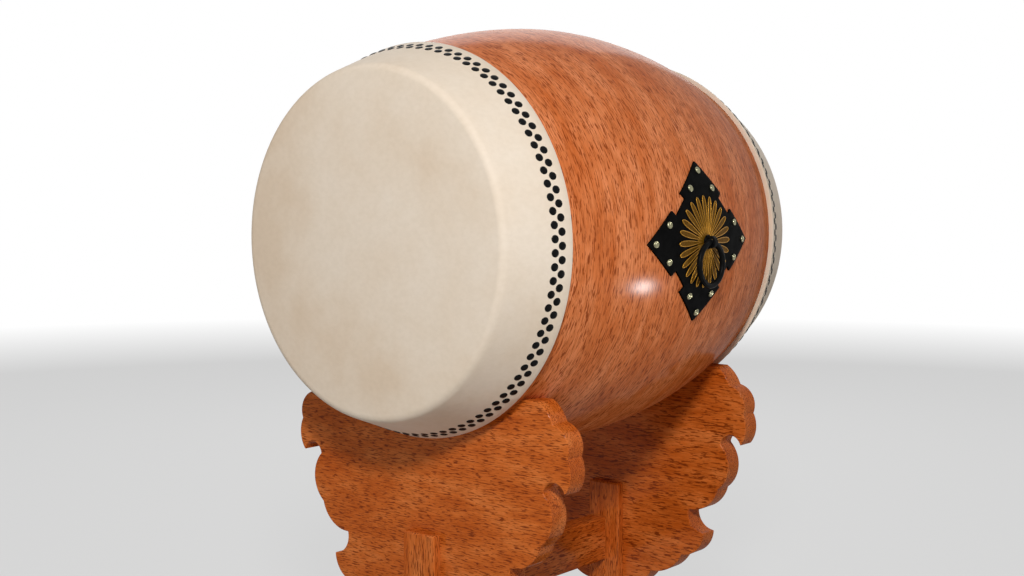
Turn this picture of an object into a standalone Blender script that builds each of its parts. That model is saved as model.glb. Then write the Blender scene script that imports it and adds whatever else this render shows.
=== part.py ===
# Taiko: a barrel drum with nailed heads and iron ring handles, resting in a
# wooden stand with two cloud-shaped cradle boards.
# Metres, +Z up. The stand rests on Z = 0 and the drum's axis runs along Y.

import math

import bmesh
import bpy
import numpy as np
from mathutils import Matrix, Vector

# Fits
touch_gap = 0.0003
facets = 48

# Wooden barrel
axis_height = 1.050
belly_radius = 0.394
edge_radius = 0.3396
edge_reach = 0.3236
bulge_power = 1.87
mouth_reach = 0.436
belly_wall = 0.034
mouth_wall = 0.026
belly_bands = 6

# Skins
face_thickness = 0.0093
skin_proud = 0.0098
mouth_proud = 0.005
shoulder_round = 0.012
shoulder_steps = 4

# Ring plates
plate_thickness = 0.0037
plate_tip_y = 0.160
plate_tip_z = 0.1415
corner_half_y = 0.065
corner_half_z = 0.056
step_depth = 0.014

# Rosettes
petals = 24
petal_tip_radius = 0.082
petal_half_width = 0.0057
petal_root_radius = 0.026
petal_tip_steps = 4
rosette_thickness = 0.0018
rosette_gap = 0.0004

# Eye bolts, washers and rings
shank_radius = 0.006
shank_clearance = 0.0005
shank_sides = 12
collar_radius = 0.0125
collar_thickness = 0.0018
eye_outer_radius = 0.011
eye_hole_radius = 0.0072
eye_width = 0.010
eye_chamfer = 0.0012
eye_sides = 24
ring_radius = 0.038
ring_stock_radius = 0.00515
ring_sides = 28
ring_stock_sides = 8
ring_play = 0.001
ring_stand_off = 0.00105
washer_radius = 0.022
washer_thickness = 0.003
washer_sides = 24
leg_reach = 0.028
leg_half_width = 0.004
leg_thickness = 0.004

# Cradle boards: half outline as (x, z, bulge of the stretch that follows),
# measured from the drum's axis, from the horn's top down to the foot
board_reach = 0.2831
board_thickness = 0.0427
board_chamfer = 0.0035
horn_drop = 0.261
board_outline = [
    (0.262, -horn_drop, 0.004),
    (0.2925, -0.297, 0.015),
    (0.323, -0.352, 0.0095),
    (0.317, -0.4135, -0.019),
    (0.272, -0.415, 0.0215),
    (0.267, -0.508, 0.015),
    (0.200, -0.557, -0.0135),
    (0.235, -0.6025, 0.0145),
    (0.183, -0.654, 0.013),
    (0.109, -0.700, 0.012),
    (0.038, -0.743, 0.0),
]
arc_steps = 6

# Posts
post_width = 0.076
cheek_thickness = 0.0175
post_top_drop = 0.525
post_chamfer = 0.003
tenon_width = 0.046
tenon_depth = 0.040
tenon_length = 0.045

# Upper rail, set to one side of the posts' middle
rail_thickness = 0.043
rail_offset = -0.0137
upper_rail_top_drop = 0.600
upper_rail_height = 0.090
stub_length = 0.015
tenon_shoulder = 0.012

# Lower rail and its wedges
lower_rail_height = 0.070
lower_rail_base = 0.155
through_tenon_reach = 0.040
wedge_thickness = 0.008
wedge_top_width = 0.016
wedge_foot_width = 0.010
wedge_overhang = 0.014

# Pegs through fork and board
peg_radius = 0.006
peg_rise = 0.026
peg_proud = 0.0015
peg_sides = 12

# Feet and pads
foot_half_length = 0.320
foot_flat_half = 0.190
foot_height = 0.075
foot_toe_height = 0.032
foot_width = 0.096
foot_chamfer = 0.003
foot_bulge = 0.009
pad_height = 0.012
pad_length = 0.110
pad_inset = 0.012
pad_chamfer = 0.002

# Worked-out places
stations = [edge_reach * i / belly_bands for i in range(belly_bands + 1)]
stations += [(edge_reach + mouth_reach) / 2, mouth_reach]
facet_angle = 2 * math.pi / facets
post_half_depth = board_thickness / 2 + touch_gap + cheek_thickness
board_foot = -board_outline[-1][1]
foot_top = pad_height + touch_gap + foot_height
seat_radius = belly_radius + touch_gap + plate_thickness + rosette_gap + rosette_thickness
collar_base = seat_radius + touch_gap
collar_top = collar_base + collar_thickness
hinge_x = collar_top + ring_stand_off + ring_stock_radius
hinge_z = -(eye_hole_radius - ring_stock_radius - ring_play)

# Finishes: base colour, roughness, metallic
finishes = {
    "varnished_wood": ((0.58, 0.20, 0.055), 0.28, 0.0),
    "rawhide": ((0.78, 0.68, 0.56), 0.55, 0.0),
    "black_iron": ((0.012, 0.012, 0.013), 0.38, 0.6),
    "gilt_brass": ((0.72, 0.50, 0.20), 0.30, 1.0),
    "foot_rubber": ((0.03, 0.03, 0.03), 0.80, 0.0),
}


def clear_scene():
    for obj in list(bpy.data.objects):
        bpy.data.objects.remove(obj, do_unlink=True)


def new_collection(name):
    collection = bpy.data.collections.new(name)
    bpy.context.scene.collection.children.link(collection)
    return collection


def new_materials():
    made = {}
    for name, (colour, roughness, metallic) in finishes.items():
        material = bpy.data.materials.new(name)
        material.use_nodes = True
        shader = material.node_tree.nodes["Principled BSDF"]
        shader.inputs["Base Color"].default_value = (*colour, 1.0)
        shader.inputs["Roughness"].default_value = roughness
        shader.inputs["Metallic"].default_value = metallic
        made[name] = material
    return made


clear_scene()
parts = new_collection("taiko_drum")
cutters = new_collection("cutters")
materials = new_materials()


def add_part(name, mesh, finish, parent=None):
    """Put a mesh in the model as a named sub-part with its own material."""
    obj = bpy.data.objects.new(name, mesh)
    parts.objects.link(obj)
    material = materials[finish].copy()
    material.name = f"{name}_{finish}"
    mesh.materials.clear()
    mesh.materials.append(material)
    obj.parent = parent
    return obj


def add_tool(name, mesh, parent=None):
    """Put a mesh among the cutters, where it shapes parts and isn't one."""
    obj = bpy.data.objects.new(name, mesh)
    cutters.objects.link(obj)
    obj.hide_render = True
    obj.display_type = "WIRE"
    obj.parent = parent
    return obj


def boolean(obj, tool, operation):
    modifier = obj.modifiers.new(operation.lower(), "BOOLEAN")
    modifier.operation = operation
    modifier.solver = "EXACT"
    modifier.object = tool


def bevel(obj, width, angle=30):
    modifier = obj.modifiers.new("bevel", "BEVEL")
    modifier.width = width
    modifier.segments = 1
    modifier.limit_method = "ANGLE"
    modifier.angle_limit = math.radians(angle)


def mesh_from(name, bm):
    mesh = bpy.data.meshes.new(name)
    bm.to_mesh(mesh)
    bm.free()
    return mesh


def box_mesh(name, size):
    bm = bmesh.new()
    bmesh.ops.create_cube(bm, size=1.0, matrix=Matrix.Diagonal((*size, 1.0)))
    return mesh_from(name, bm)


def box_between(low, high):
    """Size and centre of the box between two corners."""
    size = [b - a for a, b in zip(low, high)]
    centre = [(a + b) / 2 for a, b in zip(low, high)]
    return size, centre


def box_part(name, low, high, finish, parent=None):
    size, centre = box_between(low, high)
    obj = add_part(name, box_mesh(name, size), finish, parent)
    obj.location = centre
    return obj


def box_tool(name, low, high, parent=None):
    size, centre = box_between(low, high)
    obj = add_tool(name, box_mesh(name, size), parent)
    obj.location = centre
    return obj


def rod_mesh(name, radius, length, sides, axis):
    turn = Matrix.Rotation(math.pi / 2, 4, "Y" if axis == "X" else "X")
    bm = bmesh.new()
    bmesh.ops.create_cone(bm, cap_ends=True, segments=sides, radius1=radius,
                          radius2=radius, depth=length, matrix=turn)
    return mesh_from(name, bm)


def profile_mesh(name, profile, closed):
    """A turning profile of (radius, height) points, down its outer side."""
    mesh = bpy.data.meshes.new(name)
    edges = [(i, i + 1) for i in range(len(profile) - 1)]
    if closed:
        edges.append((len(profile) - 1, 0))
    mesh.from_pydata([(radius, 0.0, height) for radius, height in profile], edges, [])
    return mesh


def turn_profile(obj, steps):
    screw = obj.modifiers.new("turn", "SCREW")
    screw.axis = "Z"
    screw.angle = 2 * math.pi
    screw.steps = steps
    screw.render_steps = steps
    screw.use_merge_vertices = True
    screw.merge_threshold = 0.00001


def outline_mesh(name, loops, thickness):
    """A flat outline, with any holes, extruded both ways from its plane."""
    curve = bpy.data.curves.new(name, "CURVE")
    curve.dimensions = "2D"
    curve.fill_mode = "BOTH"
    curve.extrude = thickness / 2
    for loop in loops:
        spline = curve.splines.new("POLY")
        spline.points.add(len(loop) - 1)
        spline.use_cyclic_u = True
        for point, (u, v) in zip(spline.points, loop):
            point.co = (u, v, 0.0, 1.0)
    flat = bpy.data.objects.new(name, curve)
    cutters.objects.link(flat)
    evaluated = flat.evaluated_get(bpy.context.evaluated_depsgraph_get())
    mesh = bpy.data.meshes.new_from_object(evaluated)
    bpy.data.objects.remove(flat)
    bpy.data.curves.remove(curve)
    bm = bmesh.new()
    bm.from_mesh(mesh)
    bmesh.ops.remove_doubles(bm, verts=bm.verts[:], dist=0.00001)
    bmesh.ops.recalc_face_normals(bm, faces=bm.faces[:])
    bm.to_mesh(mesh)
    bm.free()
    return mesh


def arc(start, end, bulge, steps):
    """Points after start up to end, on an arc that stands bulge proud to the left."""
    start = Vector(start)
    end = Vector(end)
    if abs(bulge) < touch_gap:
        return [tuple(end)]
    half = (end - start) / 2
    left = Vector((-half.y, half.x)).normalized()
    sweep = 2 * math.atan(bulge / half.length)
    radius = half.length / math.sin(sweep)
    points = []
    for i in range(1, steps + 1):
        angle = sweep * (2 * i / steps - 1)
        along = half.normalized() * (radius * math.sin(angle))
        out = left * (radius * (math.cos(angle) - math.cos(sweep)))
        points.append(tuple(start + half + along + out))
    return points


def circle(radius, sides):
    return [(radius * math.cos(2 * math.pi * i / sides),
             radius * math.sin(2 * math.pi * i / sides)) for i in range(sides)]


def barrel_radius(y):
    """Outer radius of the wood at a distance from the drum's middle."""
    return belly_radius - (belly_radius - edge_radius) * (abs(y) / edge_reach) ** bulge_power


def wall_thickness(y):
    return belly_wall - (belly_wall - mouth_wall) * (abs(y) / mouth_reach) ** 2


def faceted(function, y):
    """A radius or wall of the barrel on the straight bands between its stations."""
    return float(np.interp(abs(y), stations, [function(station) for station in stations]))


def inner_radius(y):
    return faceted(barrel_radius, y) - faceted(wall_thickness, y)


def facet_x(radius, z):
    """X of a faceted circle of this radius at height z from its centre."""
    low = math.floor(math.asin(z / radius) / facet_angle) * facet_angle
    high = low + facet_angle
    z_low = radius * math.sin(low)
    z_high = radius * math.sin(high)
    share = (z - z_low) / (z_high - z_low)
    return radius * ((1 - share) * math.cos(low) + share * math.cos(high))


def wrap_on_barrel(mesh, thickness, side, base_radius, outward=1):
    """Lay a flat plate, drawn as (y, z), round the barrel on its +X or -X side.

    The plate starts at base_radius(y) and grows outwards (1) or inwards (-1).
    """
    bm = bmesh.new()
    bm.from_mesh(mesh)
    cuts = [(Vector((way * y, 0, 0)), Vector((1, 0, 0))) for y in stations for way in (-1, 1)]
    for i in range(-3, 4):
        height = belly_radius * math.sin(i * facet_angle)
        cuts.append((Vector((0, height, 0)), Vector((0, 1, 0))))
    for point, normal in cuts:
        geometry = bm.verts[:] + bm.edges[:] + bm.faces[:]
        bmesh.ops.bisect_plane(bm, geom=geometry, dist=0.000001, plane_co=point, plane_no=normal)
    for vert in bm.verts:
        y, z, layer = vert.co
        radius = base_radius(y) + outward * (layer + thickness / 2)
        vert.co = (side * facet_x(radius, z), y, z)
    if side * outward < 0:
        bmesh.ops.reverse_faces(bm, faces=bm.faces[:])
    bm.to_mesh(mesh)
    bm.free()


def skin_profile():
    """One head from its middle out over the shoulder, down to its edge and back inside."""
    face = mouth_reach + touch_gap + face_thickness
    corner = Vector((barrel_radius(mouth_reach) + mouth_proud, face))
    edge = Vector((edge_radius + skin_proud, edge_reach))
    start = corner - Vector((shoulder_round, 0))
    end = corner + (edge - corner).normalized() * shoulder_round
    points = [(0.0, face)]
    for i in range(shoulder_steps + 1):
        t = i / shoulder_steps
        points.append(tuple(start * (1 - t) ** 2 + corner * 2 * t * (1 - t) + end * t ** 2))
    points.append(tuple(edge))
    for station in stations[belly_bands:]:
        points.append((barrel_radius(station) + touch_gap, station))
    points[-1] = (barrel_radius(mouth_reach) + touch_gap, mouth_reach + touch_gap)
    points.append((0.0, mouth_reach + touch_gap))
    return points


def make_barrel(drum):
    both_ways = [-y for y in reversed(stations[1:])] + stations
    outer = [(barrel_radius(y), y) for y in reversed(both_ways)]
    inner = [(barrel_radius(y) - wall_thickness(y), y) for y in both_ways]
    body = add_part("drum_body", profile_mesh("drum_body", outer + inner, True),
                    "varnished_wood", drum)
    body.rotation_euler.x = -math.pi / 2
    turn_profile(body, facets)
    bore_length = 3 * belly_radius
    bore = add_tool("shank_bore", rod_mesh("shank_bore", shank_radius + shank_clearance,
                                           bore_length, shank_sides, "X"), drum)
    boolean(body, bore, "DIFFERENCE")


def make_skins(drum):
    for name, turn in (("front_skin", math.pi / 2), ("rear_skin", -math.pi / 2)):
        skin = add_part(name, profile_mesh(name, skin_profile(), False), "rawhide", drum)
        skin.rotation_euler.x = turn
        turn_profile(skin, facets)


def plate_outline():
    """A stepped lozenge: a large one with a small one on each of its corners."""
    shoulder_z = plate_tip_z - corner_half_z
    shoulder_y = plate_tip_y - corner_half_y
    corner_run = math.hypot(corner_half_y, corner_half_z)
    notch = Vector((-corner_half_y, -corner_half_z)) * (step_depth / corner_run)
    top = Vector((corner_half_y, shoulder_z))
    side = Vector((shoulder_y, corner_half_z))
    quarter = [Vector((0.0, plate_tip_z)), top, top + notch, side + notch, side]
    points = []
    points += [(p.x, p.y) for p in quarter]
    points.append((plate_tip_y, 0.0))
    points += [(p.x, -p.y) for p in reversed(quarter)]
    points += [(-p.x, -p.y) for p in quarter[1:]]
    points.append((-plate_tip_y, 0.0))
    points += [(-p.x, p.y) for p in reversed(quarter[1:])]
    return points


def rosette_outline():
    """Narrow petals round a hub, each with a round tip."""
    points = []
    tip_centre = petal_tip_radius - petal_half_width
    for i in range(petals):
        middle = 2 * math.pi * i / petals
        valley = middle - math.pi / petals
        points.append((petal_root_radius * math.cos(valley), petal_root_radius * math.sin(valley)))
        out = Vector((math.cos(middle), math.sin(middle)))
        across = Vector((-out.y, out.x))
        for j in range(petal_tip_steps + 1):
            angle = math.pi * (j / petal_tip_steps - 0.5)
            rim = out * math.cos(angle) + across * math.sin(angle)
            points.append(tuple(out * tip_centre + rim * petal_half_width))
    return points


def make_plates(drum, name, side):
    hole = circle(shank_radius + shank_clearance, shank_sides)
    plate = outline_mesh(f"{name}_ring_plate", [plate_outline(), hole], plate_thickness)
    wrap_on_barrel(plate, plate_thickness, side,
                   lambda y: faceted(barrel_radius, y) + touch_gap)
    add_part(f"{name}_ring_plate", plate, "black_iron", drum)
    rosette = outline_mesh(f"{name}_rosette", [rosette_outline(), hole], rosette_thickness)
    rosette_base = touch_gap + plate_thickness + rosette_gap
    wrap_on_barrel(rosette, rosette_thickness, side,
                   lambda y: faceted(barrel_radius, y) + rosette_base)
    add_part(f"{name}_rosette", rosette, "gilt_brass", drum)
    washer = outline_mesh(f"{name}_washer", [circle(washer_radius, washer_sides), hole],
                          washer_thickness)
    wrap_on_barrel(washer, washer_thickness, side,
                   lambda y: inner_radius(y) - touch_gap, outward=-1)
    add_part(f"{name}_washer", washer, "black_iron", drum)


def make_eye_bolt(drum, name, side):
    """An eye on a collar, its shank through the wall and its legs spread inside."""
    half = eye_width / 2
    profile = [(eye_outer_radius - eye_chamfer, half), (eye_outer_radius, half - eye_chamfer),
               (eye_outer_radius, eye_chamfer - half), (eye_outer_radius - eye_chamfer, -half),
               (eye_hole_radius, -half), (eye_hole_radius, half)]
    eye = add_part(f"{name}_eye_bolt", profile_mesh(f"{name}_eye_bolt", profile, True),
                   "black_iron", drum)
    eye.location = (side * hinge_x, 0, 0)
    eye.rotation_euler.x = math.pi / 2
    turn_profile(eye, eye_sides)

    collar_middle = (collar_base + collar_top) / 2
    below = box_tool(f"{name}_eye_trim", (0, -half * 2, -eye_outer_radius * 2),
                     (collar_middle, half * 2, eye_outer_radius * 2), drum)
    below.location.x *= side
    boolean(eye, below, "DIFFERENCE")

    collar = add_tool(f"{name}_collar", rod_mesh(f"{name}_collar", collar_radius,
                                                 collar_thickness, eye_sides, "X"), drum)
    collar.location.x = side * collar_middle
    boolean(eye, collar, "UNION")

    washer_top = inner_radius(washer_radius) - touch_gap - washer_thickness
    leg_top = facet_x(washer_top, leg_half_width) - touch_gap
    leg_middle = leg_top - leg_thickness / 2
    shank_end = collar_base + collar_thickness / 4
    shank = add_tool(f"{name}_shank", rod_mesh(f"{name}_shank", shank_radius,
                                               shank_end - leg_middle, shank_sides, "X"), drum)
    shank.location.x = side * (shank_end + leg_middle) / 2
    boolean(eye, shank, "UNION")

    legs = box_tool(f"{name}_legs", (leg_top - leg_thickness, -leg_reach, -leg_half_width),
                    (leg_top, leg_reach, leg_half_width), drum)
    legs.location.x *= side
    boolean(eye, legs, "UNION")


def make_ring(drum, name, side):
    """A round ring that hangs in the eye and swings about its own top."""
    hinge = bpy.data.objects.new(f"{name}_ring_hinge", None)
    parts.objects.link(hinge)
    hinge.parent = drum
    hinge.location = (side * hinge_x, 0, hinge_z)
    stock = []
    for i in range(ring_stock_sides):
        angle = math.pi / 2 - 2 * math.pi * i / ring_stock_sides
        stock.append((ring_radius + ring_stock_radius * math.cos(angle),
                      ring_stock_radius * math.sin(angle)))
    ring = add_part(f"{name}_ring", profile_mesh(f"{name}_ring", stock, True), "black_iron", hinge)
    ring.location.z = -ring_radius
    ring.rotation_euler.y = math.pi / 2
    turn_profile(ring, ring_sides)


def make_drum():
    drum = bpy.data.objects.new("drum_axis", None)
    parts.objects.link(drum)
    drum.location.z = axis_height
    make_barrel(drum)
    make_skins(drum)
    for name, side in (("right", 1), ("left", -1)):
        make_plates(drum, name, side)
        make_eye_bolt(drum, name, side)
        make_ring(drum, name, side)


def seat_cutter():
    """The barrel, larger by the gap, which hollows the cradle boards."""
    belly = stations[:belly_bands + 1]
    both_ways = [-y for y in reversed(belly[1:])] + belly
    profile = [(0.0, edge_reach)]
    profile += [(barrel_radius(y) + touch_gap, y) for y in reversed(both_ways)]
    profile.append((0.0, -edge_reach))
    cutter = add_tool("barrel_seat", profile_mesh("barrel_seat", profile, False))
    cutter.location.z = axis_height
    cutter.rotation_euler.x = -math.pi / 2
    turn_profile(cutter, facets)
    return cutter


def board_loop():
    right = [board_outline[0][:2]]
    for (x, z, bulge), (next_x, next_z, _) in zip(board_outline, board_outline[1:]):
        right += arc((x, z), (next_x, next_z), bulge, arc_steps)
    return right + [(-x, z) for x, z in reversed(right)]


def make_board(name, side, seat):
    board = add_part(f"{name}_board", outline_mesh(f"{name}_board", [board_loop()],
                                                   board_thickness), "varnished_wood")
    board.location = (0, side * board_reach, axis_height)
    board.rotation_euler.x = math.pi / 2
    bevel(board, board_chamfer, 50)
    boolean(board, seat, "DIFFERENCE")
    return board


def make_post(name, side):
    """A post forked over its board, with a tenon for the foot below."""
    middle = side * board_reach
    top = axis_height - post_top_drop
    base = foot_top + touch_gap
    post = box_part(f"{name}_post", (-post_width / 2, middle - post_half_depth, base),
                    (post_width / 2, middle + post_half_depth, top), "varnished_wood")
    bevel(post, post_chamfer)
    slot_half = board_thickness / 2 + touch_gap
    slot = box_tool(f"{name}_fork_slot",
                    (-post_width, middle - slot_half, axis_height - board_foot - touch_gap),
                    (post_width, middle + slot_half, axis_height))
    boolean(post, slot, "DIFFERENCE")
    tenon = box_tool(f"{name}_post_tenon",
                     (-tenon_width / 2, middle - tenon_depth / 2, base - tenon_length),
                     (tenon_width / 2, middle + tenon_depth / 2, base + tenon_length))
    boolean(post, tenon, "UNION")
    return post


def make_foot(name, side):
    base = pad_height + touch_gap
    right = [(foot_half_length, 0.0), (foot_half_length, foot_toe_height)]
    right += arc(right[-1], (foot_flat_half, foot_height), -foot_bulge, arc_steps)
    loop = right + [(-x, z) for x, z in reversed(right)]
    foot = add_part(f"{name}_foot", outline_mesh(f"{name}_foot", [loop], foot_width),
                    "varnished_wood")
    foot.location = (0, side * board_reach, base)
    foot.rotation_euler.x = math.pi / 2
    bevel(foot, foot_chamfer, 50)
    middle = side * board_reach
    mortise = box_tool(f"{name}_foot_mortise",
                       (-tenon_width / 2 - touch_gap, middle - tenon_depth / 2 - touch_gap,
                        foot_top - tenon_length - touch_gap),
                       (tenon_width / 2 + touch_gap, middle + tenon_depth / 2 + touch_gap,
                        foot_top + tenon_length))
    boolean(foot, mortise, "DIFFERENCE")
    for end, way in (("right", 1), ("left", -1)):
        outer = foot_half_length - pad_inset
        xs = sorted((way * outer, way * (outer - pad_length)))
        pad = box_part(f"{name}_{end}_pad",
                       (xs[0], middle - foot_width / 2 + pad_inset, 0),
                       (xs[1], middle + foot_width / 2 - pad_inset, pad_height), "foot_rubber")
        bevel(pad, pad_chamfer)


def make_peg(name, side, post, board):
    """A round peg through both cheeks of the fork and the board between."""
    place = (0, side * board_reach, axis_height - board_foot + peg_rise)
    length = 2 * (post_half_depth + peg_proud)
    peg = add_part(f"{name}_peg", rod_mesh(f"{name}_peg", peg_radius, length, peg_sides, "Y"),
                   "varnished_wood")
    peg.location = place
    hole = add_tool(f"{name}_peg_hole", rod_mesh(f"{name}_peg_hole", peg_radius + touch_gap,
                                                 length + 2 * peg_proud, peg_sides, "Y"))
    hole.location = place
    boolean(post, hole, "DIFFERENCE")
    boolean(board, hole, "DIFFERENCE")


def make_rail(name, middle_x, base, height, tenon_reach, posts):
    """A rail between the posts, with a tenon at each end in a mortise."""
    reach = board_reach - post_half_depth - touch_gap
    low_x = middle_x - rail_thickness / 2
    high_x = middle_x + rail_thickness / 2
    rail = box_part(name, (low_x, -reach, base), (high_x, reach, base + height), "varnished_wood")
    bevel(rail, post_chamfer)
    low = (low_x + tenon_shoulder, -tenon_reach, base + tenon_shoulder)
    high = (high_x - tenon_shoulder, tenon_reach, base + height - tenon_shoulder)
    boolean(rail, box_tool(f"{name}_tenons", low, high), "UNION")
    mortise = box_tool(f"{name}_mortises", [value - touch_gap for value in low],
                       [value + touch_gap for value in high])
    for post in posts:
        boolean(post, mortise, "DIFFERENCE")
    return rail, low, high


def make_rails(posts):
    """Stub tenons hold the upper rail, and the lower one's pass through to their wedges."""
    stub_reach = board_reach - post_half_depth + stub_length
    upper_base = axis_height - upper_rail_top_drop - upper_rail_height
    make_rail("upper_rail", rail_offset, upper_base, upper_rail_height, stub_reach, posts)
    through_reach = board_reach + post_half_depth + through_tenon_reach
    rail, low, high = make_rail("lower_rail", 0.0, lower_rail_base, lower_rail_height,
                                through_reach, posts)
    for name, side in (("front", -1), ("rear", 1)):
        make_wedge(name, side, rail, low[2], high[2])


def make_wedge(name, side, rail, tenon_low, tenon_high):
    """A wedge driven down through a tenon, its straight side against the post."""
    near = board_reach + post_half_depth + touch_gap
    low = tenon_low - wedge_overhang
    high = tenon_high + wedge_overhang
    loop = [(side * near, low), (side * (near + wedge_foot_width), low),
            (side * (near + wedge_top_width), high), (side * near, high)]
    wedge = add_part(f"{name}_wedge", outline_mesh(f"{name}_wedge", [loop], wedge_thickness),
                     "varnished_wood")
    wedge.rotation_euler = (math.pi / 2, 0, math.pi / 2)
    ys = sorted((side * (near - touch_gap), side * (near + wedge_top_width)))
    slot = box_tool(f"{name}_wedge_slot",
                    (-wedge_thickness / 2 - touch_gap, ys[0] - touch_gap, tenon_low - touch_gap),
                    (wedge_thickness / 2 + touch_gap, ys[1] + touch_gap, tenon_high + touch_gap))
    boolean(rail, slot, "DIFFERENCE")


def make_stand():
    seat = seat_cutter()
    posts = []
    for name, side in (("front", -1), ("rear", 1)):
        board = make_board(name, side, seat)
        post = make_post(name, side)
        make_foot(name, side)
        make_peg(name, side, post, board)
        posts.append(post)
    make_rails(posts)


def shade_smooth():
    for obj in parts.objects:
        if obj.type == "MESH" and obj.data.polygons:
            obj.data.shade_smooth()
            obj.data.set_sharp_from_angle(angle=math.radians(30))


make_drum()
make_stand()
shade_smooth()
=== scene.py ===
import math

import bpy
from mathutils import Matrix, Vector


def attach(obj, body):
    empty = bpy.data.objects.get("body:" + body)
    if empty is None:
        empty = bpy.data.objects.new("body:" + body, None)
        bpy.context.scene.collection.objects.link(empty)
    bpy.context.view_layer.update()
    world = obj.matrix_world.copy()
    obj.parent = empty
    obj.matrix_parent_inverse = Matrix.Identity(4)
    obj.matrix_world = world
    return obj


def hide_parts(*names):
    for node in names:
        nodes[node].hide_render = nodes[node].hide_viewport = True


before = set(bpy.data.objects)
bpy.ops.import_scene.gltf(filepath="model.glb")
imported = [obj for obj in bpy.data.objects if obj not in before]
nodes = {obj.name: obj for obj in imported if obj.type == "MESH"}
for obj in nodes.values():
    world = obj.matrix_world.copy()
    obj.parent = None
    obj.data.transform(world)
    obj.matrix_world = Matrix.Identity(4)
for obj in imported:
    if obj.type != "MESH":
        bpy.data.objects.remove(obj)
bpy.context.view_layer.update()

# sizes that several pieces share, in metres
drum = {
    "axisHeight": 1.05,
    "bellyRadius": 0.394,
    "edgeRadius": 0.3396,
    "edgeReach": 0.3236,      # from the middle to the skin's edge
    "bulgePower": 1.87,
    "mouthReach": 0.436,
    "skinProud": 0.0098,
    "roundSteps": 192,
}
ends = (("front", -1), ("rear", 1))
sides = (("right", 1), ("left", -1))


def barrelRadius(y):
    fall = drum["bellyRadius"] - drum["edgeRadius"]
    return drum["bellyRadius"] - fall * (abs(y) / drum["edgeReach"]) ** drum["bulgePower"]


# hand tools, used by the pieces further down


def deselect():
    bpy.ops.object.select_all(action="DESELECT")


def makeActive(piece):
    deselect()
    piece.select_set(True)
    bpy.context.view_layer.objects.active = piece


def applyModifier(piece, kind, **settings):
    makeActive(piece)
    modifier = piece.modifiers.new(kind.lower(), kind)
    for key, value in settings.items():
        setattr(modifier, key, value)
    bpy.ops.object.modifier_apply(modifier=modifier.name)


def smoothPiece(piece, angle=35):
    makeActive(piece)
    bpy.ops.object.shade_smooth_by_angle(angle=math.radians(angle))


# a piece turned on a lathe: profile points are (radius, place along the axis)
def turnPiece(name, profile, steps, closed=False):
    deselect()
    bpy.ops.mesh.primitive_plane_add(size=0.01)
    piece = bpy.context.object
    piece.name = name
    piece.data.name = name
    path = list(profile) + ([profile[0]] if closed else [])
    bpy.ops.object.mode_set(mode="EDIT")
    bpy.ops.mesh.select_all(action="SELECT")
    bpy.ops.mesh.merge(type="CENTER")
    bpy.ops.transform.translate(value=(path[0][0], 0, path[0][1]))
    for (radius, place), (nextRadius, nextPlace) in zip(path, path[1:]):
        move = (nextRadius - radius, 0, nextPlace - place)
        bpy.ops.mesh.extrude_region_move(TRANSFORM_OT_translate={"value": move})
    bpy.ops.mesh.select_all(action="SELECT")
    bpy.ops.mesh.spin(steps=steps, angle=2 * math.pi, center=(0, 0, 0), axis=(0, 0, 1))
    bpy.ops.mesh.select_all(action="SELECT")
    bpy.ops.mesh.remove_doubles(threshold=0.00002)
    bpy.ops.mesh.dissolve_degenerate(threshold=0.000005)
    bpy.ops.mesh.select_all(action="SELECT")
    bpy.ops.mesh.normals_make_consistent(inside=False)
    bpy.ops.object.mode_set(mode="OBJECT")
    return piece


# matrix that lays a turned piece's own axis along a direction, at a place
def standOn(place, direction):
    return Matrix.Translation(place) @ Vector(direction).to_track_quat("Z", "Y").to_matrix().to_4x4()


# copies of one model at many places, joined into one piece
def copyJoin(model, name, places):
    copies = []
    for place in places:
        copy = model.copy()
        copy.data = model.data.copy()
        copy.data.transform(place)
        bpy.context.scene.collection.objects.link(copy)
        copies.append(copy)
    deselect()
    for copy in copies:
        copy.select_set(True)
    bpy.context.view_layer.objects.active = copies[0]
    bpy.ops.object.join()
    joined = bpy.context.object
    joined.name = name
    joined.data.name = name
    return joined


def removePiece(piece):
    bpy.data.objects.remove(piece, do_unlink=True)


# what lies flat on the bench, drawn as (y, z) with its height up, goes round the barrel
def bendOnBarrel(piece, side):
    for vert in piece.data.vertices:
        y, z, height = vert.co
        radius = barrelRadius(y) + height
        vert.co = (side * math.sqrt(radius ** 2 - z ** 2), y, z + drum["axisHeight"])
    if side < 0:
        piece.data.flip_normals()
    piece.data.update()


def dressPiece(piece, finish, body, slot, *replaced):
    piece.data.materials.clear()
    piece.data.materials.append(finish)
    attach(piece, body)
    if replaced:
        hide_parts(*replaced)


# finishes


def startFinish(name):
    finish = bpy.data.materials.new(name)
    finish.use_nodes = True
    tree = finish.node_tree
    shader = tree.nodes["Principled BSDF"]
    return finish, tree, shader


def addNode(tree, kind, **inputs):
    made = tree.nodes.new(kind)
    for key, value in inputs.items():
        made.inputs[key].default_value = value
    return made


def objectNoise(tree, stretch, detail=4.0, roughness=0.55, turn=(0, 0, 0)):
    coords = addNode(tree, "ShaderNodeTexCoord")
    mapping = addNode(tree, "ShaderNodeMapping", Scale=stretch, Rotation=turn)
    noise = addNode(tree, "ShaderNodeTexNoise", Scale=1.0, Detail=detail, Roughness=roughness)
    tree.links.new(coords.outputs["Object"], mapping.inputs["Vector"])
    tree.links.new(mapping.outputs["Vector"], noise.inputs["Vector"])
    return noise.outputs["Fac"]


def ramp(tree, source, stops):
    made = addNode(tree, "ShaderNodeValToRGB")
    elements = made.color_ramp.elements
    while len(elements) < len(stops):
        elements.new(0.5)
    for element, (place, colour) in zip(elements, stops):
        element.position = place
        element.color = (*colour, 1.0)
    tree.links.new(source, made.inputs["Fac"])
    return made.outputs["Color"]


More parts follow.
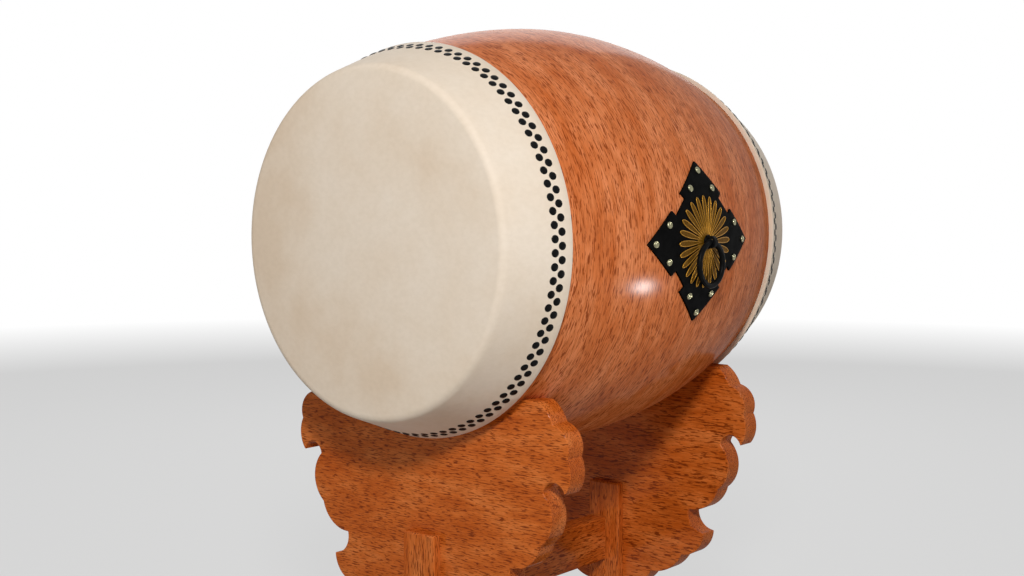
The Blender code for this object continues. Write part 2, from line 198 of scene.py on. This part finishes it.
# a socket takes either another node's output or a plain value
def feed(tree, socket, value):
    if isinstance(value, bpy.types.NodeSocket):
        tree.links.new(value, socket)
    else:
        socket.default_value = value


def mixColour(tree, factor, first, second, blend="MIX"):
    made = addNode(tree, "ShaderNodeMix")
    made.data_type = "RGBA"
    made.blend_type = blend
    for key, kind, value in (("Factor", "VALUE", factor), ("A", "RGBA", first), ("B", "RGBA", second)):
        feed(tree, [s for s in made.inputs if s.name == key and s.type == kind][0], value)
    return [s for s in made.outputs if s.type == "RGBA"][0]


def mathNode(tree, operation, first, second):
    made = addNode(tree, "ShaderNodeMath")
    made.operation = operation
    feed(tree, made.inputs[0], first)
    feed(tree, made.inputs[1], second)
    return made.outputs["Value"]


def grey(value):
    return (value, value, value)


def toNumber(tree, colour):
    made = addNode(tree, "ShaderNodeRGBToBW")
    tree.links.new(colour, made.inputs["Color"])
    return made.outputs["Val"]


def addBump(tree, shader, source, strength, depth):
    bump = addNode(tree, "ShaderNodeBump", Strength=strength, Distance=depth)
    tree.links.new(source, bump.inputs["Height"])
    tree.links.new(bump.outputs["Normal"], shader.inputs["Normal"])


# varnished wood: soft bands, fibres and short dark pores along the grain
drumTones = {
    "light": (0.64, 0.205, 0.074),
    "middle": (0.56, 0.155, 0.044),
    "dark": (0.49, 0.112, 0.022),
    "pore": (0.20, 0.032, 0.003),
}
standTones = {
    "light": (0.61, 0.165, 0.034),
    "middle": (0.53, 0.120, 0.017),
    "dark": (0.44, 0.085, 0.008),
    "pore": (0.16, 0.024, 0.002),
}
wood = {
    "bands": (7.0, 24.0),     # noise scales to a metre, along the grain and across it
    "fibres": (30.0, 460.0),
    "pores": (58.0, 430.0),
    "fibreTints": [(0.32, (0.72, 0.66, 0.56)), (0.50, (1.0, 1.0, 1.0)), (0.68, (1.14, 1.18, 1.26))],
    "poreStrength": 0.88,
    "rough": (0.48, 0.38),
    "varnish": 0.20,
    "varnishRough": 0.17,
    "bumpDepth": 0.0005,
}


def woodNoise(tree, grain, scales, detail, roughness):
    along, across = scales
    return objectNoise(tree, [along if g else across for g in grain], detail, roughness)


# the grain is 1 for each axis that it runs along
def woodFinish(name, grain, tones):
    finish, tree, shader = startFinish(name)
    bands = woodNoise(tree, grain, wood["bands"], 5.0, 0.6)
    base = ramp(tree, bands, [(0.34, tones["dark"]), (0.50, tones["middle"]), (0.64, tones["light"])])
    fibre = woodNoise(tree, grain, wood["fibres"], 4.0, 0.6)
    tinted = mixColour(tree, 1.0, base, ramp(tree, fibre, wood["fibreTints"]), "MULTIPLY")
    pores = woodNoise(tree, grain, wood["pores"], 2.0, 0.5)
    poreDepth = ramp(tree, pores, [(0.38, grey(wood["poreStrength"])), (0.46, grey(0.0))])
    coloured = mixColour(tree, toNumber(tree, poreDepth), tinted, (*tones["pore"], 1.0))
    tree.links.new(coloured, shader.inputs["Base Color"])
    rough = ramp(tree, fibre, [(0.35, grey(wood["rough"][0])), (0.65, grey(wood["rough"][1]))])
    tree.links.new(toNumber(tree, rough), shader.inputs["Roughness"])
    shader.inputs["Specular IOR Level"].default_value = 0.0
    shader.inputs["Coat Weight"].default_value = wood["varnish"]
    shader.inputs["Coat Roughness"].default_value = wood["varnishRough"]
    addBump(tree, shader, fibre, 0.08, wood["bumpDepth"])
    return finish


hide = {
    "clouds": 3.2,
    "tones": [(0.36, (0.650, 0.520, 0.390)), (0.50, (0.700, 0.588, 0.468)), (0.64, (0.725, 0.625, 0.515))],
    "wrinkles": (95.0, 95.0, 140.0),
    "wrinkleTurn": math.radians(35),
    "wrinkleTints": [(0.36, (0.975, 0.970, 0.960)), (0.62, (1.010, 1.010, 1.010))],
    "rough": (0.66, 0.56),
    "shine": 0.20,
    "bumpDepth": 0.0010,
}


def hideFinish():
    finish, tree, shader = startFinish("rawhide")
    clouds = objectNoise(tree, grey(hide["clouds"]), detail=5.0, roughness=0.6)
    wrinkle = objectNoise(tree, hide["wrinkles"], detail=4.0, turn=(0, hide["wrinkleTurn"], 0))
    base = ramp(tree, clouds, hide["tones"])
    wrinkles = ramp(tree, wrinkle, hide["wrinkleTints"])
    tree.links.new(mixColour(tree, 1.0, base, wrinkles, "MULTIPLY"), shader.inputs["Base Color"])
    rough = ramp(tree, clouds, [(0.3, grey(hide["rough"][0])), (0.7, grey(hide["rough"][1]))])
    tree.links.new(toNumber(tree, rough), shader.inputs["Roughness"])
    shader.inputs["Specular IOR Level"].default_value = hide["shine"]
    addBump(tree, shader, wrinkle, 0.16, hide["bumpDepth"])
    return finish


# each metal has its two tones, its gloss and the unevenness that hammering or casting leaves
metals = {
    "blackIron": {"tones": ((0.003, 0.003, 0.003), (0.006, 0.006, 0.006)),
                  "rough": 0.34, "metallic": 0.0, "shine": 0.03, "lumps": 120.0, "depth": 0.0006},
    "blackLacquer": {"tones": ((0.002, 0.002, 0.002), (0.004, 0.004, 0.004)),
                     "rough": 0.50, "metallic": 0.0, "shine": 0.01, "lumps": 60.0, "depth": 0.0004},
    "nailBlack": {"tones": ((0.002, 0.002, 0.002), (0.004, 0.004, 0.004)),
                  "rough": 0.40, "metallic": 0.0, "shine": 0.07, "lumps": 200.0, "depth": 0.0004},
    "giltWire": {"tones": ((0.27, 0.120, 0.008), (0.43, 0.215, 0.028)),
                 "rough": 0.34, "metallic": 0.6, "shine": 0.15, "lumps": 300.0, "depth": 0.0002},
    "bronzeLeaf": {"tones": ((0.080, 0.034, 0.001), (0.122, 0.057, 0.003)),
                   "rough": 0.48, "metallic": 0.1, "shine": 0.05, "lumps": 260.0, "depth": 0.0003},
    "giltHub": {"tones": ((0.150, 0.066, 0.002), (0.215, 0.102, 0.005)),
                "rough": 0.45, "metallic": 0.2, "shine": 0.08, "lumps": 260.0, "depth": 0.0003},
    "rivetSilver": {"tones": ((0.20, 0.190, 0.115), (0.34, 0.32, 0.20)),
                    "rough": 0.26, "metallic": 1.0, "shine": 0.5, "lumps": 300.0, "depth": 0.0002},
}


def metalFinish(name):
    metal = metals[name]
    finish, tree, shader = startFinish(name)
    cast = objectNoise(tree, grey(metal["lumps"]), detail=3.0)
    dark, light = metal["tones"]
    tree.links.new(ramp(tree, cast, [(0.3, dark), (0.7, light)]), shader.inputs["Base Color"])
    gloss = ramp(tree, cast, [(0.3, grey(metal["rough"] * 1.15)), (0.7, grey(metal["rough"] * 0.85))])
    tree.links.new(toNumber(tree, gloss), shader.inputs["Roughness"])
    shader.inputs["Metallic"].default_value = metal["metallic"]
    shader.inputs["Specular IOR Level"].default_value = metal["shine"]
    addBump(tree, shader, cast, 0.15, metal["depth"])
    return finish


def rubberFinish():
    finish, tree, shader = startFinish("footRubber")
    grit = objectNoise(tree, grey(400.0), detail=2.0)
    tree.links.new(ramp(tree, grit, [(0.3, (0.02, 0.02, 0.02)), (0.7, (0.045, 0.045, 0.043))]),
                   shader.inputs["Base Color"])
    shader.inputs["Roughness"].default_value = 0.8
    addBump(tree, shader, grit, 0.2, 0.0004)
    return finish


drumWood = woodFinish("drumWood", (1, 0, 1), drumTones)
crossWood = woodFinish("crossWood", (1, 0, 0), standTones)
uprightWood = woodFinish("uprightWood", (0, 0, 1), standTones)
railWood = woodFinish("railWood", (0, 1, 0), standTones)
rawhide = hideFinish()
blackIron = metalFinish("blackIron")
blackLacquer = metalFinish("blackLacquer")
nailBlack = metalFinish("nailBlack")
giltWire = metalFinish("giltWire")
bronzeLeaf = metalFinish("bronzeLeaf")
giltHub = metalFinish("giltHub")
rivetSilver = metalFinish("rivetSilver")
padRubber = rubberFinish()
print("finishes mixed")


# the wooden barrel, turned smooth
barrel = {"outerSteps": 44, "innerSteps": 12, "bellyWall": 0.034, "mouthWall": 0.026}


def makeBarrel():
    reach = drum["mouthReach"]
    profile = []
    for i in range(barrel["outerSteps"] + 1):
        y = reach * (1 - 2 * i / barrel["outerSteps"])
        profile.append((barrelRadius(y), y))
    for i in range(barrel["innerSteps"] + 1):
        y = reach * (2 * i / barrel["innerSteps"] - 1)
        wall = barrel["bellyWall"] - (barrel["bellyWall"] - barrel["mouthWall"]) * (y / reach) ** 2
        profile.append((barrelRadius(y) - wall, y))
    shell = turnPiece("barrelShell", profile, drum["roundSteps"], closed=True)
    shell.data.transform(standOn((0, 0, drum["axisHeight"]), (0, 1, 0)))
    smoothPiece(shell)
    dressPiece(shell, drumWood, "drum", "varnished_wood", "drum_body")


makeBarrel()
print("barrel turned")


# a head of hide: flat face, straight flank over the wood and a clean edge
skin = {
    "faceThickness": 0.0093,
    "mouthProud": 0.005,
    "shoulderRound": 0.012,
    "shoulderSteps": 10,
    "flatShares": (0.35, 0.7),  # rings that divide the flat face
    "flankSteps": 8,
    "edgeRoll": 0.0012,
    "edgeSteps": 3,
    "innerMiddle": 0.38,      # where the inner side bends with the wood
    "gap": 0.0003,
}


def skinCorner():
    face = drum["mouthReach"] + skin["gap"] + skin["faceThickness"]
    return Vector((barrelRadius(drum["mouthReach"]) + skin["mouthProud"], face))


# the flank runs straight from the edge on the wood to the corner at the face
def skinSlope():
    corner = skinCorner()
    return (corner.x - drum["edgeRadius"] - drum["skinProud"]) / (corner.y - drum["edgeReach"])


def skinRadius(y):
    return drum["edgeRadius"] + drum["skinProud"] + skinSlope() * (y - drum["edgeReach"])


def skinProfile():
    corner = skinCorner()
    along = Vector((skinSlope(), 1)).normalized()
    start = corner - Vector((skin["shoulderRound"], 0))
    end = corner - along * skin["shoulderRound"]
    profile = [(0.0, corner.y)] + [(start.x * share, corner.y) for share in skin["flatShares"]]
    for i in range(skin["shoulderSteps"] + 1):
        t = i / skin["shoulderSteps"]
        profile.append(tuple(start * (1 - t) ** 2 + corner * 2 * t * (1 - t) + end * t ** 2))
    rollStart = drum["edgeReach"] + skin["edgeRoll"]
    for i in range(1, skin["flankSteps"] + 1):
        y = end.y + (rollStart - end.y) * i / skin["flankSteps"]
        profile.append((skinRadius(y), y))
    for i in range(1, skin["edgeSteps"] + 1):
        angle = math.pi / 2 * i / skin["edgeSteps"]
        drop = skin["edgeRoll"] * (1 - math.cos(angle))
        profile.append((skinRadius(rollStart) - drop, rollStart - skin["edgeRoll"] * math.sin(angle)))
    inner = drum["mouthReach"] + skin["gap"]
    for y in (drum["edgeReach"], skin["innerMiddle"]):
        profile.append((barrelRadius(y) + skin["gap"], y))
    profile.append((barrelRadius(drum["mouthReach"]) + skin["gap"], inner))
    profile.append((0.0, inner))
    return profile


def makeSkins():
    for name, end in ends:
        head = turnPiece(name + "Head", skinProfile(), drum["roundSteps"])
        head.data.transform(standOn((0, 0, drum["axisHeight"]), (0, end, 0)))
        smoothPiece(head, 50)
        dressPiece(head, rawhide, "drum", "rawhide", name + "_skin")


makeSkins()
print("heads stretched")


# low black nails in two staggered rows round each head
nail = {
    "count": 94,
    "radius": 0.0070,
    "height": 0.0013,
    "sunk": 0.0008,
    "steps": 14,
    "domeSteps": 3,
    "rows": (0.0194, 0.0320),  # from the skin's edge
    "phase": 0.18,
}


def makeNails():
    profile = [(0.0, nail["height"])]
    for i in range(1, nail["domeSteps"] + 1):
        angle = math.pi / 2 * i / nail["domeSteps"]
        profile.append((nail["radius"] * math.sin(angle), nail["height"] * math.cos(angle)))
    profile += [(nail["radius"], -nail["sunk"]), (0.0, -nail["sunk"])]
    model = turnPiece("nailModel", profile, nail["steps"])
    smoothPiece(model, 60)
    for name, end in ends:
        places = []
        for row, reach in enumerate(nail["rows"]):
            y = drum["edgeReach"] + reach
            radius = skinRadius(y)
            for i in range(nail["count"]):
                angle = 2 * math.pi * (i + row / 2 + nail["phase"]) / nail["count"]
                out = Vector((math.cos(angle), 0, math.sin(angle)))
                place = out * radius + Vector((0, end * y, drum["axisHeight"]))
                normal = (out - Vector((0, end * skinSlope(), 0))).normalized()
                places.append(standOn(place, normal))
        nails = copyJoin(model, name + "Nails", places)
        dressPiece(nails, nailBlack, "drum", "black_iron")
    removePiece(model)


makeNails()
print("nails driven")


# the stepped lozenge under each ring
plate = {
    "tipY": 0.160,
    "tipZ": 0.1415,
    "cornerY": 0.065,
    "cornerZ": 0.056,
    "step": 0.014,
    "thickness": 0.0037,
    "gap": 0.0003,
    "slice": 0.009,           # distance between the cuts that let it bend
    "sliceShift": 0.0001,     # keeps the cuts off the outline's corners
    "edgeRound": 0.0007,
}


def plateOutline():
    shoulderZ = plate["tipZ"] - plate["cornerZ"]
    shoulderY = plate["tipY"] - plate["cornerY"]
    notch = Vector((-plate["cornerY"], -plate["cornerZ"])).normalized() * plate["step"]
    top = Vector((plate["cornerY"], shoulderZ))
    side = Vector((shoulderY, plate["cornerZ"]))
    quarter = [Vector((0, plate["tipZ"])), top, top + notch, side + notch, side]
    points = [(p.x, p.y) for p in quarter] + [(plate["tipY"], 0)]
    points += [(p.x, -p.y) for p in reversed(quarter)]
    points += [(-p.x, -p.y) for p in quarter[1:]] + [(-plate["tipY"], 0)]
    points += [(-p.x, p.y) for p in reversed(quarter[1:])]
    return points


# a single flat face with this outline
def drawOutline(name, outline, height=0.0):
    deselect()
    bpy.ops.mesh.primitive_circle_add(vertices=len(outline), fill_type="NGON")
    face = bpy.context.object
    face.name = name
    face.data.name = name
    for vert, (across, up) in zip(face.data.vertices, outline):
        vert.co = (across, up, height)
    return face


# the plate's sheet, cut into strips both ways so that it can bend
def plateSheet(name):
    outline = plateOutline()
    sheet = drawOutline(name, outline)
    bpy.ops.object.mode_set(mode="EDIT")
    for axis in (0, 1):
        slices = int(max(abs(point[axis]) for point in outline) / plate["slice"])
        for i in range(-slices, slices + 1):
            place = [0, 0, 0]
            place[axis] = i * plate["slice"] + plate["sliceShift"]
            normal = [0, 0, 0]
            normal[axis] = 1
            bpy.ops.mesh.select_all(action="SELECT")
            bpy.ops.mesh.bisect(plane_co=place, plane_no=normal)
    bpy.ops.mesh.select_all(action="SELECT")
    bpy.ops.mesh.normals_make_consistent(inside=False)
    bpy.ops.object.mode_set(mode="OBJECT")
    if sheet.data.polygons[0].normal.z < 0:
        sheet.data.flip_normals()
    return sheet


def makePlates():
    for name, side in sides:
        sheet = plateSheet(name + "Lozenge")
        applyModifier(sheet, "SOLIDIFY", thickness=plate["thickness"], offset=1.0)
        applyModifier(sheet, "BEVEL", width=plate["edgeRound"], segments=2, limit_method="ANGLE",
                      angle_limit=math.radians(50))
        sheet.data.transform(Matrix.Translation((0, 0, plate["gap"])))
        bendOnBarrel(sheet, side)
        smoothPiece(sheet)
        dressPiece(sheet, blackLacquer, "drum", "black_iron", name + "_ring_plate")


makePlates()
print("ring plates bent")


# twelve pale rivets hold each plate: a rounded rim round a dished middle
rivet = {
    "radius": 0.0063,
    "rimRadius": 0.0050,
    "rimHeight": 0.0026,
    "dishHeight": 0.0010,
    "dishPower": 2.5,
    "sunk": 0.0005,
    "rimSteps": 6,
    "dishSteps": 4,
    "steps": 24,
    "places": [(0, 0.126), (0.0355, 0.0945), (0.106, 0.032), (0.1415, 0)],
}


def makeRivets():
    profile = []
    rise = rivet["rimHeight"] - rivet["dishHeight"]
    for i in range(rivet["dishSteps"]):
        share = i / rivet["dishSteps"]
        height = rivet["dishHeight"] + rise * share ** rivet["dishPower"]
        profile.append((rivet["rimRadius"] * share, height))
    for i in range(rivet["rimSteps"] + 1):
        angle = math.pi / 2 * i / rivet["rimSteps"]
        reach = rivet["rimRadius"] + (rivet["radius"] - rivet["rimRadius"]) * math.sin(angle)
        profile.append((reach, rivet["rimHeight"] * math.cos(angle)))
    profile += [(rivet["radius"], -rivet["sunk"]), (0.0, -rivet["sunk"])]
    model = turnPiece("rivetModel", profile, rivet["steps"])
    smoothPiece(model, 50)
    spots = sorted({(a * y, b * z) for y, z in rivet["places"] for a in (-1, 1) for b in (-1, 1)})
    top = plate["gap"] + plate["thickness"]
    for name, side in sides:
        rivets = copyJoin(model, name + "Rivets", [Matrix.Translation((y, z, top)) for y, z in spots])
        bendOnBarrel(rivets, side)
        dressPiece(rivets, rivetSilver, "drum", "gilt_brass")
    removePiece(model)


makeRivets()
print("rivets set")


# a rosette of leaf-shaped petals: a gilt wire round a bronze leaf
rosette = {
    "petals": 24,
    "tipRadius": 0.082,
    "rootRadius": 0.014,
    "halfWidth": 0.0056,
    "taper": 0.8,
    "wire": 0.00085,
    "wireRounds": 2,
    "leafLift": 0.0008,
    "leafThickness": 0.0005,
    "leafCuts": 9,            # they let a leaf follow the barrel
    "hubRadius": 0.028,
    "hubHeight": 0.0010,
    "hubRim": [(0.8, 1.0), (0.95, 0.75), (1.0, 0.0)],  # shares of radius and height
    "hubSteps": 48,
    "loopPoints": 36,
    "gap": 0.0004,
    "turn": math.radians(1.0),
}


# one petal's outline: a circle drawn out long, and drawn in towards the hub
def petalLoop(name, shrink, filled):
    deselect()
    bpy.ops.mesh.primitive_circle_add(vertices=rosette["loopPoints"], radius=1.0,
                                      fill_type="NGON" if filled else "NOTHING")
    petal = bpy.context.object
    petal.name = name
    taper = rosette["taper"]
    widest = taper / (1 + taper)
    fullest = math.sqrt(1 - widest ** 2) * ((1 + widest) / 2) ** taper
    middle = (rosette["tipRadius"] + rosette["rootRadius"]) / 2
    halfLength = (rosette["tipRadius"] - rosette["rootRadius"]) / 2 - shrink
    for vert in petal.data.vertices:
        reach, across, _ = vert.co
        drawnIn = ((1 + reach) / 2) ** taper / fullest if reach > -1 else 0
        vert.co = (middle + halfLength * reach, (rosette["halfWidth"] - shrink) * across * drawnIn, 0)
    return petal


def cutLeaf(petal):
    makeActive(petal)
    bpy.ops.object.mode_set(mode="EDIT")
    run = rosette["tipRadius"] - rosette["rootRadius"]
    for i in range(1, rosette["leafCuts"]):
        bpy.ops.mesh.select_all(action="SELECT")
        place = rosette["rootRadius"] + run * i / rosette["leafCuts"]
        bpy.ops.mesh.bisect(plane_co=(place, 0, 0), plane_no=(1, 0, 0))
    bpy.ops.object.mode_set(mode="OBJECT")


def petalTurns():
    return [Matrix.Rotation(rosette["turn"] + 2 * math.pi * i / rosette["petals"], 4, "Z")
            for i in range(rosette["petals"])]


def petalWire():
    makeActive(petalLoop("wireModel", rosette["wire"], False))
    bpy.ops.object.convert(target="CURVE")
    curve = bpy.context.object.data
    curve.bevel_depth = rosette["wire"]
    curve.bevel_resolution = rosette["wireRounds"]
    bpy.ops.object.convert(target="MESH")
    wire = bpy.context.object
    smoothPiece(wire, 60)
    return wire


def petalLeaf():
    leaf = petalLoop("leafModel", rosette["wire"], True)
    cutLeaf(leaf)
    applyModifier(leaf, "SOLIDIFY", thickness=rosette["leafThickness"], offset=1.0)
    smoothPiece(leaf)
    return leaf


def hubProfile():
    rim = [(rosette["hubRadius"] * out, rosette["hubHeight"] * up) for out, up in rosette["hubRim"]]
    return [(0.0, rosette["hubHeight"])] + rim + [(0.0, 0.0)]


def makeRosettes():
    base = plate["gap"] + plate["thickness"] + rosette["gap"]
    wire = petalWire()
    leaf = petalLeaf()
    for name, side in sides:
        wireLift = Matrix.Translation((0, 0, base + rosette["wire"]))
        wires = copyJoin(wire, name + "PetalWires", [wireLift @ turn for turn in petalTurns()])
        bendOnBarrel(wires, side)
        dressPiece(wires, giltWire, "drum", "gilt_brass", name + "_rosette")
        leafLift = Matrix.Translation((0, 0, base + rosette["leafLift"] - rosette["leafThickness"]))
        leaves = copyJoin(leaf, name + "PetalLeaves", [leafLift @ turn for turn in petalTurns()])
        bendOnBarrel(leaves, side)
        dressPiece(leaves, bronzeLeaf, "drum", "gilt_brass")
        hub = turnPiece(name + "RosetteHub", hubProfile(), rosette["hubSteps"])
        hub.data.transform(Matrix.Translation((0, 0, base)))
        bendOnBarrel(hub, side)
        smoothPiece(hub)
        dressPiece(hub, giltHub, "drum", "gilt_brass")
    removePiece(wire)
    removePiece(leaf)


makeRosettes()
print("rosettes laid")


# round iron rings, hanging in their eyes
ring = {
    "radius": 0.038,
    "stock": 0.00515,
    "stockPoints": 16,
    "steps": 72,
    "hingeX": 0.4085,
    "hingeZ": -0.00105,       # from the drum's axis
}


def makeRings():
    profile = []
    for i in range(ring["stockPoints"]):
        angle = math.pi / 2 - 2 * math.pi * i / ring["stockPoints"]
        profile.append((ring["radius"] + ring["stock"] * math.cos(angle), ring["stock"] * math.sin(angle)))
    for name, side in sides:
        handle = turnPiece(name + "Handle", profile, ring["steps"], closed=True)
        place = (side * ring["hingeX"], 0, drum["axisHeight"] + ring["hingeZ"] - ring["radius"])
        handle.data.transform(standOn(place, (side, 0, 0)))
        smoothPiece(handle, 60)
        dressPiece(handle, blackIron, "ring_" + name, "black_iron", name + "_ring")


makeRings()
print("rings hung")


# the cradle boards, with half an outline from the drum's axis: x, z and the bulge of the next stretch
board = {
    "reach": 0.2831,
    "thickness": 0.0427,
    "edgeRound": 0.0036,
    "roundSegments": 3,
    "arcSteps": 14,
    "seatGap": 0.0003,
    "seatSteps": 16,
    "outline": [(0.262, -0.261, 0.004), (0.2925, -0.297, 0.015), (0.323, -0.352, 0.0095),
                (0.317, -0.4135, -0.019), (0.272, -0.415, 0.0215), (0.267, -0.508, 0.015),
                (0.200, -0.557, -0.0135), (0.235, -0.6025, 0.0145), (0.183, -0.654, 0.013),
                (0.109, -0.700, 0.012), (0.038, -0.743, 0.0)],
}


# points after the start up to the end, on an arc that stands proud to the left
def arcPoints(start, end, bulge, steps):
    start = Vector(start)
    end = Vector(end)
    if bulge == 0:
        return [tuple(end)]
    half = (end - start) / 2
    left = Vector((-half.y, half.x)).normalized()
    sweep = 2 * math.atan(bulge / half.length)
    radius = half.length / math.sin(sweep)
    points = []
    for i in range(1, steps + 1):
        angle = sweep * (2 * i / steps - 1)
        along = half.normalized() * (radius * math.sin(angle))
        points.append(tuple(start + half + along + left * (radius * (math.cos(angle) - math.cos(sweep)))))
    return points


def boardOutline():
    corners = board["outline"]
    right = [corners[0][:2]]
    for (x, z, bulge), (nextX, nextZ, _) in zip(corners, corners[1:]):
        right += arcPoints((x, z), (nextX, nextZ), bulge, board["arcSteps"])
    return right + [(-x, z) for x, z in reversed(right)]


# the barrel's shape, larger by the gap, hollows the boards
def seatCutter():
    reach = drum["edgeReach"]
    seat = [(0.0, reach)]
    for i in range(board["seatSteps"] + 1):
        y = reach * (1 - 2 * i / board["seatSteps"])
        seat.append((barrelRadius(y) + board["seatGap"], y))
    seat.append((0.0, -reach))
    cutter = turnPiece("seatCutter", seat, drum["roundSteps"])
    cutter.data.transform(standOn((0, 0, drum["axisHeight"]), (0, 1, 0)))
    return cutter


def makeBoards():
    cutter = seatCutter()
    for name, end in ends:
        slab = drawOutline(name + "CradleBoard", boardOutline(), -board["thickness"] / 2)
        bpy.ops.object.mode_set(mode="EDIT")
        bpy.ops.mesh.select_all(action="SELECT")
        rise = (0, 0, board["thickness"])
        bpy.ops.mesh.extrude_region_move(TRANSFORM_OT_translate={"value": rise})
        bpy.ops.mesh.select_all(action="SELECT")
        bpy.ops.mesh.normals_make_consistent(inside=False)
        bpy.ops.object.mode_set(mode="OBJECT")
        applyModifier(slab, "BEVEL", width=board["edgeRound"], segments=board["roundSegments"],
                      limit_method="ANGLE", angle_limit=math.radians(50))
        upright = Matrix.Translation((0, end * board["reach"], drum["axisHeight"]))
        slab.data.transform(upright @ Matrix.Rotation(math.pi / 2, 4, "X"))
        applyModifier(slab, "BOOLEAN", operation="DIFFERENCE", solver="EXACT", object=cutter)
        smoothPiece(slab)
        applyModifier(slab, "WEIGHTED_NORMAL", keep_sharp=True)
        dressPiece(slab, crossWood, "stand", "varnished_wood", name + "_board")
    removePiece(cutter)


makeBoards()
print("cradle boards cut")


# the CAD pieces that are kept take their finish here
def dressNodes():
    finishes = {
        crossWood: ["front_foot", "rear_foot"],
        uprightWood: ["front_post", "rear_post", "front_wedge", "rear_wedge"],
        railWood: ["upper_rail", "lower_rail", "front_peg", "rear_peg"],
        blackIron: ["right_eye_bolt", "left_eye_bolt", "right_washer", "left_washer"],
        padRubber: ["front_right_pad", "front_left_pad", "rear_right_pad", "rear_left_pad"],
    }
    for finish, names in finishes.items():
        for name in names:
            node = nodes[name]
            if node.material_slots:
                node.material_slots[0].material = finish
            else:
                node.data.materials.append(finish)


dressNodes()
print("stand finished")


# one for the rays that show the surroundings, nought for those that light the object
def showingRays(tree):
    path = addNode(tree, "ShaderNodeLightPath").outputs
    mirrored = mathNode(tree, "MAXIMUM", path["Is Glossy Ray"], path["Is Transmission Ray"])
    return mathNode(tree, "MAXIMUM", path["Is Camera Ray"], mirrored)


# pale floor, which fades into the white surroundings far from the object
stage = {
    "floorSize": 60.0,
    "fadeStart": 3.0,
    "fadeEnd": 9.0,
    "tone": (0.45, 0.45, 0.445),
    "paleness": 0.55,
}


def makeStage():
    deselect()
    bpy.ops.mesh.primitive_plane_add(size=stage["floorSize"])
    floor = bpy.context.object
    floor.name = "studioFloor"
    finish, tree, shader = startFinish("paleFloor")
    shader.inputs["Base Color"].default_value = (*stage["tone"], 1.0)
    shader.inputs["Roughness"].default_value = 0.9
    coords = addNode(tree, "ShaderNodeTexCoord")
    length = addNode(tree, "ShaderNodeVectorMath")
    length.operation = "LENGTH"
    tree.links.new(coords.outputs["Object"], length.inputs[0])
    fade = addNode(tree, "ShaderNodeMapRange")
    fade.inputs["From Min"].default_value = stage["fadeStart"]
    fade.inputs["From Max"].default_value = stage["fadeEnd"]
    tree.links.new(length.outputs["Value"], fade.inputs["Value"])
    pale = mathNode(tree, "MULTIPLY", showingRays(tree), stage["paleness"])
    glow = addNode(tree, "ShaderNodeEmission", Strength=1.0)
    blend = addNode(tree, "ShaderNodeMixShader")
    tree.links.new(mathNode(tree, "MAXIMUM", fade.outputs["Result"], pale), blend.inputs["Fac"])
    tree.links.new(shader.outputs["BSDF"], blend.inputs[1])
    tree.links.new(glow.outputs["Emission"], blend.inputs[2])
    tree.links.new(blend.outputs["Shader"], tree.nodes["Material Output"].inputs["Surface"])
    floor.data.materials.append(finish)


surroundings = {"lighting": 0.25, "shown": 1.0}  # what lights the object, what camera and gloss see


def makeWorld():
    world = bpy.data.worlds.new("studio")
    bpy.context.scene.world = world
    world.use_nodes = True
    tree = world.node_tree
    background = tree.nodes["Background"]
    strength = addNode(tree, "ShaderNodeMapRange")
    strength.inputs["To Min"].default_value = surroundings["lighting"]
    strength.inputs["To Max"].default_value = surroundings["shown"]
    tree.links.new(showingRays(tree), strength.inputs["Value"])
    tree.links.new(strength.outputs["Result"], background.inputs["Strength"])
    background.inputs["Color"].default_value = (1, 1, 1, 1)


lamps = {
    "keyLamp": {"place": (2.05, -2.6, 2.73), "aim": (0, 0, 0.95), "size": 0.45, "watts": 98, "spread": 180},
    "fillLamp": {"place": (-2.4, -3.6, 2.6), "aim": (0, 0, 0.95), "size": 2.4, "watts": 6, "spread": 180},
    "backLamp": {"place": (-2.6, 3.4, 3.2), "aim": (0, 0, 0.95), "size": 2.4, "watts": 45, "spread": 180},
    # small and low, it makes the bright spot on the barrel's side
    "spotLamp": {"place": (1.98, 1.16, 0.26), "aim": (0.37, -0.16, 0.98), "size": 0.18, "watts": 0.2,
                 "spread": 24},
}


def makeLights():
    for name, lamp in lamps.items():
        light = bpy.data.lights.new(name, "AREA")
        light.size = lamp["size"]
        light.energy = lamp["watts"]
        light.spread = math.radians(lamp["spread"])
        holder = bpy.data.objects.new(name, light)
        bpy.context.scene.collection.objects.link(holder)
        holder.location = lamp["place"]
        ray = Vector(lamp["aim"]) - holder.location
        holder.rotation_euler = ray.to_track_quat("-Z", "Y").to_euler()
        holder.visible_camera = False


view = {"place": (1.7337, -2.1487, 1.1682), "tilt": 85.4408, "turn": 39.6534, "lens": 50.0, "sensor": 36.0}


def makeCamera():
    data = bpy.data.cameras.new("viewpoint")
    data.lens = view["lens"]
    data.sensor_width = view["sensor"]
    camera = bpy.data.objects.new("viewpoint", data)
    bpy.context.scene.collection.objects.link(camera)
    camera.location = view["place"]
    camera.rotation_euler = (math.radians(view["tilt"]), 0, math.radians(view["turn"]))
    bpy.context.scene.camera = camera


makeStage()
makeWorld()
makeLights()
makeCamera()
bpy.context.scene.view_settings.view_transform = "Standard"
print("studio ready")
